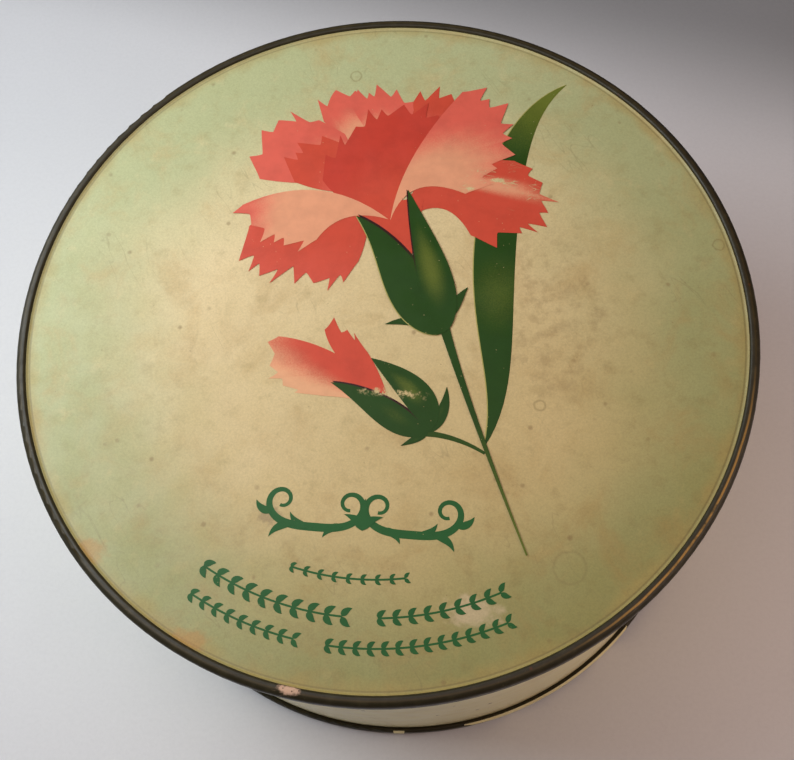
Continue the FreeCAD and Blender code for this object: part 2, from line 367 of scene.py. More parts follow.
def new_piece(name, points, faces, body, material, merged=1e-7, soft=True):
    """Makes a mesh from points in mm, joins points that are closer than merged metres,
    and lets it ride on a body."""
    mesh = bpy.data.meshes.new(name)
    mesh.from_pydata((np.asarray(points, float).reshape(-1, 3) * MM).tolist(), [], faces.tolist())
    mesh.validate()
    if merged:
        work = bmesh.new()
        work.from_mesh(mesh)
        bmesh.ops.remove_doubles(work, verts=work.verts, dist=merged)
        work.to_mesh(mesh)
        work.free()
    mesh.polygons.foreach_set("use_smooth", np.full(len(mesh.polygons), soft))
    mesh.materials.append(material)
    piece = bpy.data.objects.new(name, mesh)
    bpy.context.scene.collection.objects.link(piece)
    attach(piece, body)
    return piece


def closed_skin(piece, thickness, offset=-1.0):
    """Gives an open surface its thickness, in mm."""
    skin = piece.modifiers.new("thickness", "SOLIDIFY")
    skin.thickness, skin.offset, skin.use_even_offset = thickness * MM, offset, False
    return piece


class Print:
    """Patches of ink, flat on the label. Each has a layer, and covers the layers under it."""

    def __init__(self, lift):
        self.lift, self.points, self.faces = lift, [], []
        self.ink, self.tint, self.fade, self.count = [], [], [], 0

    def lay(self, points, layer, first, second, fade):
        """Adds a grid of points in mm, whose ink goes from the first colour to the second by fade."""
        rows, columns = points.shape[:2]
        fade = np.broadcast_to(fade, (rows, columns))
        across, up = points[:, -1] - points[:, 0], points[-1].mean(0) - points[0].mean(0)
        middle = across.mean(0)
        if middle[0] * up[1] - middle[1] * up[0] < 0:
            points, fade = points[:, ::-1], fade[:, ::-1]
        height = np.full((rows, columns, 1), LABEL_TOP + layer * self.lift)
        self.points.append(np.concatenate([points, height], axis=-1).reshape(-1, 3))
        self.faces.append(grid_faces(rows, columns) + self.count)
        self.count += rows * columns
        for store, value in ((self.ink, first), (self.tint, second)):
            store.append(np.tile([*value, 1.0], (rows * columns, 1)))
        self.fade.append(np.clip(fade, 0, 1).reshape(-1))

    def piece(self, name, material):
        """All patches as one piece that rides on the lid, with its inks as attributes."""
        made = new_piece(
            name, np.concatenate(self.points), np.concatenate(self.faces), "lid",
            material, merged=0, soft=False,
        )
        for key, values in (("ink", self.ink), ("tint", self.tint)):
            layer = made.data.attributes.new(key, "FLOAT_COLOR", "POINT")
            layer.data.foreach_set("color", np.concatenate(values).astype(np.float32).ravel())
        layer = made.data.attributes.new("fade", "FLOAT", "POINT")
        layer.data.foreach_set("value", np.concatenate(self.fade).astype(np.float32))
        return closed_skin(made, self.lift * 0.7)


def turned(radius, angle, height):
    """Points from a radius, an angle and a height, in mm."""
    spread = np.broadcast_arrays(radius * np.cos(angle), radius * np.sin(angle), height)
    return np.stack(spread, axis=-1)


def smooth(value, low, high):
    """0 below low and 1 above high, smooth between; low may be the larger."""
    t = np.clip((value - low) / (high - low), 0, 1)
    return t * t * (3 - 2 * t)


def petal(base, left, right, crown, left_bow, right_bow, teeth, depth, phase=0.0):
    """A frilled petal. Column u runs along its outer edge from left to right, row v from its base
    out. The edge is a quadratic curve through crown's pull. Each of its points is joined to the base
    by a quadratic curve, whose pull goes from left_bow to right_bow by u, and is pushed out along
    that curve's end by pointed teeth whose widths, peaks and heights follow sines of their number,
    times v to the power 5.
    Returns points, u and v."""
    steps, rows = 12, 16
    number = np.minimum(np.arange(teeth * steps + 1) // steps, teeth - 1)
    within = np.arange(teeth * steps + 1) / steps - number
    ends = np.arange(teeth + 1) + 0.26 * np.sin(2.1 * np.arange(teeth + 1) + 3 * phase)
    ends[0], ends[-1] = 0, teeth
    u = (ends[number] + within * (ends[number + 1] - ends[number])) / teeth
    v = np.linspace(0, 1, rows)
    edge = curve(u, left, crown, right)
    peak = np.round((0.5 + 0.25 * np.sin(phase + 1.3 * number)) * steps) / steps
    saw = np.minimum(within / peak, (1 - within) / (1 - peak))
    height = depth * (0.7 + 0.3 * np.sin(phase + 2.4 * number))
    pull = (1 - u)[:, None] * np.asarray(left_bow, float) + u[:, None] * np.asarray(right_bow, float)
    out = edge - pull
    out /= np.linalg.norm(out, axis=1, keepdims=True)
    tooth = out * (height * saw**1.3)[:, None]
    points = curve(v[:, None], base, pull[None], edge[None]) + (v**5)[:, None, None] * tooth
    return points, np.broadcast_to(u, (rows, len(u))), np.broadcast_to(v[:, None], (rows, len(u)))


def widened(middle, half, across):
    """A line of points spread to its sides: a grid whose columns lie at across times half."""
    run = np.gradient(middle, axis=0)
    run /= np.linalg.norm(run, axis=1, keepdims=True)
    side = np.stack([-run[:, 1], run[:, 0]], axis=1)
    half = np.broadcast_to(half, len(middle))
    return middle[:, None] + side[:, None] * (half[:, None] * across[None])[..., None]


def blade(controls, width, swell=0.7, shift=(0.0, 0.0), columns=9, rows=40):
    """A leaf. Its middle line is a Bezier curve, and column u from -1 to 1 goes across it. Its half
    width is a sine of the way along, whose peak is moved by the power swell. Returns points, u
    and v."""
    v = np.linspace(0, 1, rows)
    u = np.linspace(-1, 1, columns)
    half = width / 2 * np.sin(math.pi * v**swell) ** 0.9
    points = widened(curve(v, *controls) + np.asarray(shift, float), half, u)
    shape = (rows, columns)
    return points, np.broadcast_to(u, shape), np.broadcast_to(v[:, None], shape)


def stroke(middle, width):
    """A pen stroke: a line of points with a width at each, three points across."""
    return widened(middle, width, np.linspace(-0.5, 0.5, 3))


# ---------------------------------------------------------------- label


def paper_colour(f, settings):
    """Colour of the aged paper: cream that fades to pale green at the border, with its stains, a painted
    shade towards the lower right and a painted shade line in the groove at its edge.
    """
    age = settings.age
    drift = (f.noise(22.0, 3.0, 0.55) - 0.5) * 0.42
    outward = f.off(0.0, -3.0, 48.0, 46.0) + drift
    base = f.mix(f.ramp(outward, 0.5, 1.1), settings.cream[:], settings.pale_green[:])
    blotches = f.patches(9.0, 0.46, 0.74, 6.0, 0.66, 0.5)
    clouds = f.patches(3.2, 0.5, 0.72, 5.0, 0.7, shift=(5.0, 17.0, 3.0))
    soiled = f.blot(27.0, 3.0, 12.0, 20.0, 0.7, 7.0)
    soiled = soiled * f.patches(2.4, 0.44, 0.66, 5.0, 0.7, shift=(2.0, 29.0, 3.0))
    bleached = f.patches(4.0, 0.55, 0.75, 5.0, 0.6, shift=(41.0, 7.0, 3.0))
    base = f.stained(
        base,
        (blotches * (0.42 * age), ink(198, 164, 106)),
        (clouds * (0.24 * age), ink(158, 136, 84)),
        (soiled * (0.3 * age), ink(146, 118, 78)),
        (bleached * 0.25, ink(236, 214, 160)),
    )
    # painted shade: the paper grows darker and browner towards the lower right, where the light falls off
    shade_falloff = f.x * 0.5 - f.y * 0.82 + (f.noise(16.0, 4.0, 0.6) - 0.5) * 26.0
    base = f.mix(((shade_falloff + 34.0) / 92.0).clipped(), base, settings.painted_shade_tone[:], "MULTIPLY")
    border = f.ramp(f.radius + (f.noise(5.0, 3.0) - 0.5) * 4.0, 53.0, 55.6)
    # painted shade: a thin dark line in the groove where the label is pressed down and turns up against
    # the rim
    groove_shade = f.ramp(abs(f.radius - 54.98), 0.2, 0.05)
    rust = f.blot(-38.9, -38.9, 3.4, 2.6, 0.8, 2.0).most(f.blot(-21.5, -50.2, 4.2, 2.0, 0.8, 2.0))
    pinkish = f.blot(17.3, -42.8, 5.0, 2.6, 0.8, 1.6)
    foxing = f.specks(3.4, 0.16, 0.05) * f.patches(7.0, 0.5, 0.62)
    specks = f.specks(1.5, 0.10, 0.03, (3.7, 1.9, 0.0))
    specks = specks * f.patches(4.0, 0.52, 0.66, shift=(9.0, 4.0, 0.0))
    rings = f.ring(-9.0, 45.3, 0.95, 0.22).most(f.ring(25.0, -11.5, 0.8, 0.3))
    rings = rings.most(f.ring(30.5, -35.4, 2.3, 0.35) * 0.7).most(f.ring(51.0, 17.0, 0.9, 0.25))
    smudge = f.blot(-12.9, -31.4, 2.2, 1.8, 0.9, 0.9)
    lines = f.scratches(0.9, 12.0, 0.012, 5.0) * f.patches(13.0, 0.54, 0.66)
    base = f.stained(
        base,
        (border * 0.5, ink(176, 150, 84)),
        (groove_shade * 0.3, ink(60, 50, 24)),
        (rust * (0.5 * age), ink(186, 132, 66)),
        (pinkish * 0.5, ink(222, 196, 160)),
        (foxing.most(specks) * (0.5 * age), ink(128, 100, 58)),
        (rings * 0.42, ink(130, 112, 66)),
        (smudge * 0.45, ink(120, 96, 70)),
        (lines * 0.25, ink(120, 104, 66)),
    )
    grain = (f.noise(0.3, 3.0, 0.8) - 0.36) * 0.5
    return f.darker(base, grain.clipped())


def worn_through(f, settings):
    """Where the ink is rubbed off and paper shows: pin holes, hair scuffs and one worn patch."""
    pins = f.specks(0.9, 0.09, 0.04, (1.3, 6.1, 0.0))
    pins = pins * f.patches(5.0, 0.5, 0.6)
    scuffs = f.scratches(-0.35, 5.0, 0.02, 7.0).most(f.scratches(0.25, 4.0, 0.02, 6.0))
    scuffs = scuffs * f.ramp(f.off(17.0, 25.5, 8.0, 5.0), 1.0, 0.6) * f.patches(3.0, 0.5, 0.6)
    patch = f.blot(3.2, -11.2, 5.4, 1.0, 1.1, 0.9) * f.patches(1.2, 0.42, 0.56, 3.0, 0.7)
    chips = f.blot(16.2, 26.4, 1.3, 0.5, 1.2, 0.6).most(f.blot(11.8, 24.6, 1.0, 0.4, 1.2, 0.5))
    return (pins * 0.8).most(scuffs).most(patch).most(chips).clipped() * settings.age


def paper_relief(f):
    """Height of the paper's fibres and its faint waves."""
    return f.noise(0.35, 3.0, 0.65) * 0.6 + f.noise(6.0, 2.0) * 0.8


def paper_finish(settings):
    f = Finish("aged_label_paper")
    gloss = f.patches(5.0, 0.35, 0.7, 3.0) * 0.14 + 0.42
    return f.surface(paper_colour(f, settings), gloss, paper_relief(f), 0.05, 0.5, IOR=1.45)


def ink_finish(settings):
    f = Finish("printed_ink")
    first = f.add("ShaderNodeAttribute", {"attribute_name": "ink"}, output="Color")
    second = f.add("ShaderNodeAttribute", {"attribute_name": "tint"}, output="Color")
    fade = f.add("ShaderNodeAttribute", {"attribute_name": "fade"}, output="Fac")
    spray = (f.noise(0.22, 2.0, 0.8) - 0.5) * 0.5
    sprayed = f.ramp(fade + spray * fade * (1 - fade) * 4.0, 0.04, 0.96)
    colours = f.mix(sprayed, first, second)
    uneven = f.patches(3.0, 0.3, 0.8, 4.0, 0.6) * 0.13
    colours = f.darker(colours, uneven)
    colours = f.mix(worn_through(f, settings), colours, paper_colour(f, settings))
    gloss = f.patches(4.0, 0.35, 0.7, 3.0) * 0.12 + 0.38
    return f.surface(colours, gloss, paper_relief(f), 0.05, 0.5, IOR=1.45, Specular_IOR_Level=0.26)


def label_sheet(columns=360):
    """The paper disc as a turned profile: flat, then pressed down a little just inside its edge,
    then turned up against the rim. Each point's radius and height go round by the angle."""
    flat = LABEL_RADIUS * np.linspace(0, 1, 40)[:-1] ** 0.9 * 0.985
    edge = np.array([54.55, 54.72, 54.86, 55.0, 55.14, 55.26, 55.36, 55.44, 55.5])
    lift = np.array([0.0, -0.005, -0.012, -0.018, -0.005, 0.035, 0.1, 0.17, 0.2])
    radius = np.concatenate([flat, edge, edge[:0:-1], flat[::-1]])
    thin = LABEL_FOOT - LABEL_TOP
    height = np.concatenate([0 * flat, lift, lift[:0:-1] + 0.7 * thin, 0 * flat + thin])
    angle = np.linspace(0, FULL_TURN, columns, endpoint=False)
    points = turned(radius[:, None], angle, (LABEL_TOP + height)[:, None])
    return points, grid_faces(len(radius), columns, closed=True)


class TIN_OT_label(bpy.types.Operator):
    """Finish the label's paper and the board under it."""

    bl_idname = "tin.label"
    bl_label = "Label paper"

    def execute(self, context):
        points, faces = label_sheet()
        sheet = new_piece("label_sheet", points, faces, "lid",
                          paper_finish(context.scene.tin_print), 1e-6)
        face_out(sheet)
        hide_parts("lid_label")
        wear("lid_board", board_finish("pasteboard", context.scene.tin_filling.board[:]))
        return {"FINISHED"}


class TIN_OT_spray(bpy.types.Operator):
    """Print the flower spray on the label."""

    bl_idname = "tin.spray"
    bl_label = "Flower spray"

    def execute(self, context):
        s = context.scene.tin_print
        art = Print(s.lift / MM)
        coral, light, salmon = s.coral[:], s.light_coral[:], s.salmon[:]
        leaf, glow, halo, shade = s.leaf[:], s.leaf_light[:], s.edge_light[:], s.shade_line[:]

        def frill(layer, first, second, start, stop, *shape, slope=0.0, spot=None, **more):
            """A petal whose ink turns from first to second between start and stop of the way out.
            spot adds second round a point: its u and v, its half sizes and its strength."""
            points, u, v = petal(*shape, **more)
            fade = smooth(v + slope * (u - 0.5), start, stop)
            if spot:
                away = np.hypot((u - spot[0]) / spot[2], (v - spot[1]) / spot[3])
                fade = np.maximum(fade, spot[4] * smooth(away, 1.0, 0.05))
            art.lay(points, layer, first, second, fade)

        def green(layer, controls, width, spot=(0.2, 0.5), size=(0.8, 0.3), power=0.8, tip=0.0, **more):
            """A leaf that glows round the point spot, over the half sizes size, and at its tip."""
            points, u, v = blade(controls, width, **more)
            away = np.hypot((u - spot[0]) / size[0], (v - spot[1]) / size[1])
            fade = np.maximum(power * smooth(away, 1.0, 0.0), tip * smooth(v, 0.35, 0.0))
            art.lay(points, layer, leaf, glow, fade)

        def line(layer, tone, controls, width, shift, faded=None, **more):
            """The same leaf shifted under it, which shows as a thin line of light or shade."""
            points, _, v = blade(controls, width, shift=shift, **more)
            art.lay(points, layer, tone, leaf, smooth(v, *faded) if faded else 0.0)

        # the long blade behind the head
        long_blade = [(26.4, 45.4), (15.2, 37.0), (17.6, 21.0), (12.6, 6.0), (22.0, -4.5), (17.2, -18.8)]
        line(1, halo, long_blade, 6.5, (-0.16, 0.0), swell=1.0)
        green(2, long_blade, 6.5, (0.2, 0.62), (2.6, 0.16), 0.42, 0.95, swell=1.0)
        # back petals, then the left ones
        frill(3, salmon, light, 0.5, 0.95, (-3, 27), (-13.4, 36.0), (-6.0, 40.4), (-14.0, 43.2),
              (-8, 31), (-4.5, 34), 3, 2.6, phase=1.0)
        frill(4, salmon, light, 0.55, 0.9, (-1, 27), (-9.0, 39.0), (1.4, 39.0), (-4.0, 44.2),
              (-5, 33), (0.5, 34), 5, 2.6, phase=2.2)
        frill(3, light, coral, 0.3, 1.0, (1.5, 27), (0.4, 39.0), (8.4, 40.4), (4.8, 43.4),
              (0.8, 33), (5.5, 35), 3, 3.0, phase=0.4)
        frill(5, salmon, light, 0.35, 0.85, (-6, 25), (-22.6, 24.4), (-9.6, 33.8), (-24.6, 40.6),
              (-15, 23.4), (-7.2, 30), 5, 2.6, phase=0.6, slope=-0.2)
        frill(6, light, coral, 0.2, 0.9, (-5, 23), (-16.8, 24.2), (-9.4, 31.8), (-18.4, 32.2),
              (-11, 22), (-6.8, 28), 4, 2.6, phase=2.0)
        # low coral petals, the left two and the right one
        frill(7, coral, light, 0.3, 2.0, (-4.6, 19.0), (-4.7, 10.4), (-15.2, 9.8), (-9.2, 4.2),
              (-3.2, 15.6), (-11, 21), 4, 2.8, phase=0.2)
        frill(8, coral, light, 0.3, 2.0, (-8, 19.8), (-13.9, 9.8), (-23.0, 15.6), (-21.4, 4.6),
              (-10.4, 14), (-19, 20.4), 4, 3.3, phase=1.4)
        frill(7, coral, salmon, 0.9, 2.4, (1.4, 17.6), (18.6, 30.2), (12.6, 16.2), (30.6, 18.4),
              (2.0, 31.0), (7.7, 24.6), 8, 3.1, phase=3.4, spot=(0.3, 0.8, 0.2, 0.34, 0.85))
        # the heart between the sepals, and the middle petal
        frill(10, coral, coral, 0.0, 1.0, (3.6, 12.0), (-6.0, 18.9), (4.6, 22.4), (-0.6, 22.0),
              (-0.6, 16.6), (4.4, 18.0), 1, 0.0)
        frill(9, coral, ink(198, 66, 50), 0.1, 1.0, (-0.6, 18.2), (-12.2, 24.8), (6.6, 36.4),
              (-6.4, 43.0), (-9.0, 20.2), (1.0, 27.0), 8, 3.0, phase=0.3)
        # the turned pink petals on its right and on its left
        frill(11, salmon, light, 0.5, 1.15, (-0.4, 18.0), (9.2, 43.0), (11.2, 23.6), (22.6, 37.4),
              (0.0, 29.8), (1.6, 27.4), 8, 3.1, phase=2.4, slope=-0.6)
        frill(12, salmon, light, 0.86, 1.3, (-0.7, 18.2), (-11.8, 13.8), (-24.6, 19.4), (-19.4, 12.2),
              (-8.6, 20.2), (-12.6, 26.8), 6, 2.5, phase=1.1, slope=0.5)
        # sepals, bracts and stem
        left_sepal = [(9.8, -0.9), (3.6, 2.8), (2.3, 12.2), (-5.9, 18.5)]
        right_sepal = [(9.8, -0.9), (9.4, 6.0), (5.5, 13.6), (1.9, 23.8)]
        line(13, shade, left_sepal, 6.7, (0.26, 0.3), (0.75, 0.45), swell=0.72)
        line(14, halo, left_sepal, 6.7, (-0.14, -0.06), swell=0.72)
        green(15, left_sepal, 6.7, (-0.9, 0.5), (0.5, 0.3), 0.2, swell=0.72)
        line(16, shade, right_sepal, 5.3, (-0.22, 0.0), (0.7, 0.4), swell=0.7)
        green(17, right_sepal, 5.3, (0.15, 0.5), (1.2, 0.42), 0.7, swell=0.7)
        green(12, [(8.8, 0.2), (5.0, 1.5), (0.6, -0.1)], 1.7, power=0.2)
        green(12, [(9.8, 1.0), (10.9, 4.0), (12.9, 7.1)], 1.9, power=0.2)
        v = np.linspace(0, 1, 60)
        stem = curve(v, (9.9, -0.2), (14.4, -12.6), (24.4, -34.2))
        art.lay(stroke(stem, 1.6 - 1.35 * v**0.7), 13, leaf, glow, smooth(v, 0.2, 1.4)[:, None])
        # the bud
        frill(3, coral, ink(232, 172, 128), 0.3, 1.1, (2.2, -11.2), (-4.4, -12.4), (-15.6, -3.2),
              (-17.4, -13.2), (-1.0, -13.2), (-6.4, -3.6), 6, 1.9, phase=0.7, slope=-0.7)
        frill(4, coral, light, 0.8, 2.0, (2.2, -11.6), (-8.6, -1.6), (-1.6, -4.8), (-5.2, -1.2),
              (-6.8, -7.4), (0.4, -7.4), 3, 2.4, phase=1.6)
        low_sepal = [(8.8, -17.0), (4.4, -16.8), (0.6, -12.2), (-6.6, -10.2)]
        high_sepal = [(8.8, -17.0), (9.4, -12.0), (4.0, -8.8), (-0.9, -5.8)]
        line(5, shade, low_sepal, 4.2, (0.2, 0.25), swell=0.8)
        green(6, low_sepal, 4.2, (-0.2, 0.4), (0.9, 0.3), 0.3, swell=0.8)
        green(7, high_sepal, 4.6, (0.1, 0.55), (0.9, 0.34), 0.6, swell=0.8)
        green(5, [(8.8, -17.0), (7.2, -18.2), (5.0, -19.4)], 1.2, power=0.2)
        green(5, [(8.8, -17.0), (11.4, -14.0), (11.0, -9.6)], 1.9, power=0.2)
        twig = curve(v, (8.4, -17.2), (13.0, -17.2), (17.4, -19.6))
        art.lay(stroke(twig, 0.95 - 0.5 * v), 4, leaf, glow, 0.2)
        art.piece("printed_spray", ink_finish(s))
        return {"FINISHED"}


SCROLL_STEPS = 150


def scroll(span, turn):
    """A scroll. Its heading is the running sum of a curvature that grows with a power of the way
    from its middle, so that it is straight there and curls up at both ends; its points are the
    running sum of the heading, scaled to span and centred."""
    s = np.linspace(-1, 1, SCROLL_STEPS)
    heading = turn * np.abs(s) ** 2.4 * np.sign(s)
    run = np.stack([np.cos(heading), np.sin(heading)], axis=1)
    points = np.cumsum(run, axis=0)
    points -= (points.max(0) + points.min(0)) / 2
    return points * span / np.ptp(points[:, 0])


class TIN_OT_ornament(bpy.types.Operator):
    """Print the flourish and the garland on the label."""

    bl_idname = "tin.ornament"
    bl_label = "Flourish and garland"

    def execute(self, context):
        s = context.scene.tin_print
        art = Print(s.lift / MM)
        tone = s.ornament[:]

        def draw(points, width, layer=1):
            art.lay(stroke(points, width), layer, tone, tone, 0.0)

        def leaf(start, pull, tip, width, layer=1, rows=8):
            art.lay(blade([start, pull, tip], width, columns=3, rows=rows)[0], layer, tone, tone, 0.0)

        # a flourish of two facing scrolls, with leaves that sweep outwards along each
        thick = 0.5 + 0.75 * np.sin(np.linspace(0, math.pi, SCROLL_STEPS)) ** 1.5
        for number, hand in enumerate((-1, 1)):
            body = scroll(13.8, 6.6) * (hand, 1) + (0.7 + hand * 7.1, -30.0)
            draw(body, thick, 1 + number)
            for along, side, size in ((0.36, -1, 3.0), (0.52, 1, 3.2), (0.6, -1, 3.4), (0.72, 1, 2.6)):
                start = body[int(along * (SCROLL_STEPS - 1))]
                reach = start + size * np.array([hand * 0.95, side * 0.62])
                leaf(start, start + size * np.array([hand * 0.7, 0.0]), reach, 1.15, 3, 14)
        for turn, size in ((-1.0, 3.4), (0.0, 4.4), (1.0, 3.4)):
            tip = np.array([math.sin(turn), math.cos(turn)]) * size + (0.7, -32.2)
            leaf((0.7, -32.6), (0.7, -31.0), tip, 1.5, 4 + int(turn), 16)
        # laurel lines round the lid's lower side: radius, first and last angle in degrees, step
        # from leaf to leaf and size of a leaf
        for radius, first, last, gap, size in (
            (45.0, -118.5, -91.0, 2.3, 2.5),
            (45.0, -84.5, -62.0, 2.0, 2.1),
            (49.2, -117.5, -98.5, 1.9, 1.9),
            (49.2, -93.0, -63.0, 1.9, 1.9),
            (39.6, -103.0, -79.0, 1.9, 1.4),
        ):
            spread = np.radians(np.linspace(first, last, 60))
            draw(radius * np.stack([np.cos(spread), np.sin(spread)], axis=1), 0.3)
            count = int(abs(last - first) / math.degrees(gap / radius)) + 1
            for angle in np.radians(np.linspace(first, last, count)):
                out = np.array([math.cos(angle), math.sin(angle)])
                run = np.array([-out[1], out[0]])
                spot = out * radius
                for hand in (-1, 1):
                    aside = out * hand * size
                    pull = spot + run * size * 0.15 + aside * 0.4
                    tip = spot + run * size * 0.55 + aside * 0.52
                    leaf(spot, pull, tip, size * 0.4, 3 + hand)
        art.piece("printed_ornament", ink_finish(s))
        return {"FINISHED"}


# ---------------------------------------------------------------- tinplate


def lacquer_finish(name, settings, rubbed):
    """Dark bronze lacquer. Its crest is rubbed to a brass colour where hands wore it."""
    f = Finish(name)
    mottled = f.mix(f.patches(1.6, 0.4, 0.8, 4.0, 0.65), settings.lacquer[:], ink(60, 54, 35))
    dust = f.specks(0.8, 0.16, 0.05) * f.patches(4.0, 0.5, 0.7)
    mottled = f.mix(dust * 0.35, mottled, ink(120, 108, 84))
    if rubbed:
        middle = RIM_RADIUS - 0.85
        high = f.ramp(abs(f.radius - middle + (f.noise(9.0) - 0.5) * 0.3), 0.22, 0.05)
        right = f.ramp(abs(f.angle + 0.52), 0.5, 0.2)
        bare = high * (right * 0.9 + 0.05) * f.patches(4.0, 0.3, 0.5, 4.0, 0.6)
    else:
        bare = f.ramp(f.z, 0.5, 0.1) * f.patches(2.4, 0.5, 0.7, 4.0, 0.7)
    bare = (bare * settings.rubbed).clipped()
    rust = f.specks(2.6, 0.14, 0.05, (0.7, 2.3, 1.1)) * f.patches(8.0, 0.5, 0.6)
    base = f.stained(mottled, (bare, settings.brass[:]), (rust * 0.6, settings.rust[:]))
    rough = f.patches(1.2, 0.3, 0.8, 3.0) * 0.14 + 0.38
    metal = bare * 0.75
    if rubbed:
        chip = f.blot(-6.9, -55.6, 2.0, 0.9, 0.7, 0.7)
        dots = f.specks(0.7, 0.2, 0.1)
        base = f.mix(chip, base, f.mix(dots, ink(206, 168, 140), ink(84, 56, 44)))
        rough = rough + chip * 0.4
        metal = metal * (1 - chip)
    relief = f.noise(0.5, 3.0, 0.6) * 0.5 - bare * 0.3
    return f.surface(base, rough, relief, 0.02, 0.4, Metallic=metal, Specular_IOR_Level=0.3)


def enamel_finish(name, settings):
    """Cream enamel, hazed and chipped a little, with hair scratches."""
    f = Finish(name)
    base = f.mix(f.patches(9.0, 0.35, 0.8, 4.0, 0.6), settings.enamel[:], ink(238, 224, 170))
    around = f.add("ShaderNodeCombineXYZ", None, {0: f.angle * 55.0, 1: f.z, 2: 0.0})
    drawn = f.noise(5.0, 1.0, 0.4, 0.2, at=f.scaled(around, (1.0, 9.0, 1.0)))
    hair = f.ramp(abs(drawn - 0.5), 0.014, 0.0) * f.patches(12.0, 0.52, 0.6)
    base = f.mix(hair * 0.5, base, ink(130, 112, 78))
    chips = f.ramp(f.cells(4.2) + (f.noise(0.8, 3.0) - 0.5) * 0.2, 0.12, 0.08)
    chips = chips * f.patches(10.0, 0.54, 0.6, shift=(31.0, 7.0, 2.0))
    base = f.mix(chips, base, f.mix(f.noise(0.6), ink(70, 60, 46), settings.rust[:]))
    specks = f.specks(1.3, 0.12, 0.05) * f.patches(5.0, 0.52, 0.62)
    base = f.mix(specks * 0.5, base, ink(140, 112, 66))
    rough = f.patches(3.0, 0.3, 0.8, 3.0) * 0.14 + 0.3 + chips * 0.3
    relief = f.noise(0.6, 2.0) * 0.15 - chips
    return f.surface(base, rough, relief, 0.05, 0.5)


def coat_shell(first, last, low, columns=220, rows=26):
    """Enamel that runs over the foot. Column a is the angle and row s goes down: the height falls
    from the wall to low(a), and the radius is read from the foot's own profile at that height."""
    start = 3.25  # on the wall, just over the seam
    round_by, stand_off = 1.0, 0.02  # the seam's lower rounding, and the air under the coat
    seam_end = (2.72, 2.98)  # heights between which the seam gives way to the wall
    angle = np.radians(np.linspace(first, last, columns))
    s = np.linspace(0, 1, rows)[:, None]
    height = start + s * (low(np.linspace(0, 1, columns))[None] - start)
    sunk = np.clip(round_by - height, 0, round_by)
    foot = FOOT_RADIUS - round_by + np.sqrt(np.clip(round_by**2 - sunk**2, 0, None))
    wall = smooth(height, *seam_end)
    radius = foot * (1 - wall) + WALL_RADIUS * wall + stand_off
    return turned(radius, angle, height), grid_faces(rows, columns)[:, ::-1]


def ragged(t):
    """A torn line's height from -1 to 1: sines of rising pace, the fastest ones sharpened."""
    waves = np.sin(9 * t + 0.3) * 0.5 + np.sin(23 * t + 1.9) * 0.3
    teeth = np.abs(np.sin(61 * t + 4.1)) ** 0.6 * 0.35 + np.sin(140 * t) * 0.1
    return waves + teeth


class TIN_OT_tinplate(bpy.types.Operator):
    """Finish both ends and both walls, and let the enamel run over the foot."""

    bl_idname = "tin.tinplate"
    bl_label = "Tinplate"

    def execute(self, context):
        s = context.scene.tin_metal
        wear("lid_end", lacquer_finish("rim_lacquer", s, True))
        wear("base_bottom", lacquer_finish("foot_lacquer", s, False))
        enamel = enamel_finish("cream_enamel", s)
        wear("lid_skirt", enamel)
        wear("base_wall", enamel)

        def long_run(t):
            cover = smooth(t, 0.0, 0.3) * smooth(t, 1.0, 0.9)
            return np.clip(2.85 - cover * (1.9 + 0.8 * ragged(t)), 0.22, 3.1)

        def flake(t):
            return 3.0 - 2.2 * np.clip(np.sin(math.pi * t), 0, 1) ** 0.35

        # name, first and last angle in degrees, height of its lower edge
        for name, first, last, low in (
            ("foot_coat_run", -73.0, -36.0, long_run),
            ("foot_coat_flake", -86.4, -84.4, flake),
        ):
            points, faces = coat_shell(first, last, low)
            piece = new_piece(name, points, faces, "base", enamel)
            closed_skin(piece, s.coat / MM, 1.0)
        return {"FINISHED"}


# ---------------------------------------------------------------- inside


def board_finish(name, tone):
    """Grey-brown pasteboard with short fibres."""
    f = Finish(name)
    fibres = f.noise(0.5, 4.0, 0.7, 0.4, at=f.scaled(f.place, (1.0, 0.35, 1.0)))
    base = f.mix(f.ramp(fibres, 0.3, 0.75) * 0.5, tone, times(tone, 0.55))
    base = f.mix(f.specks(1.6, 0.14, 0.05) * 0.4, base, ink(92, 72, 50))
    return f.surface(base, f.noise(2.0) * 0.1 + 0.82, fibres, 0.06, 0.6)


def drum_finish(tone):
    """Wound paperboard: one seam climbs round the tube."""
    f = Finish("wound_board")
    climb = (f.z / 24.0 + f.angle / FULL_TURN).maths("FRACT")
    seam = f.ramp(abs(climb - 0.5), 0.012, 0.0)
    fibres = f.noise(0.5, 4.0, 0.7)
    base = f.mix(f.ramp(fibres, 0.3, 0.75) * 0.4, tone, times(tone, 0.6))
    base = f.mix(seam * 0.6, base, ink(96, 78, 56))
    dusted = f.patches(6.0, 0.45, 0.75, 3.0) * 0.4
    base = f.mix(dusted, base, ink(232, 226, 214))
    return f.surface(base, f.noise(2.0) * 0.1 + 0.8, fibres - seam, 0.08, 0.6)


def talc_finish(tone):
    """Loose powder: soft heaps and fine grains."""
    f = Finish("talc")
    heaps = f.noise(7.0, 4.0, 0.6)
    base = f.mix(f.ramp(heaps, 0.3, 0.7) * 0.12, tone, ink(206, 200, 190))
    relief = heaps * 0.8 + f.noise(0.5, 3.0, 0.8) * 0.2
    return f.surface(
        base, f.noise(1.0) * 0.05 + 0.92, relief, 0.9, 0.8,
        Subsurface_Weight=0.15, Subsurface_Radius=(0.002, 0.002, 0.002)
    )


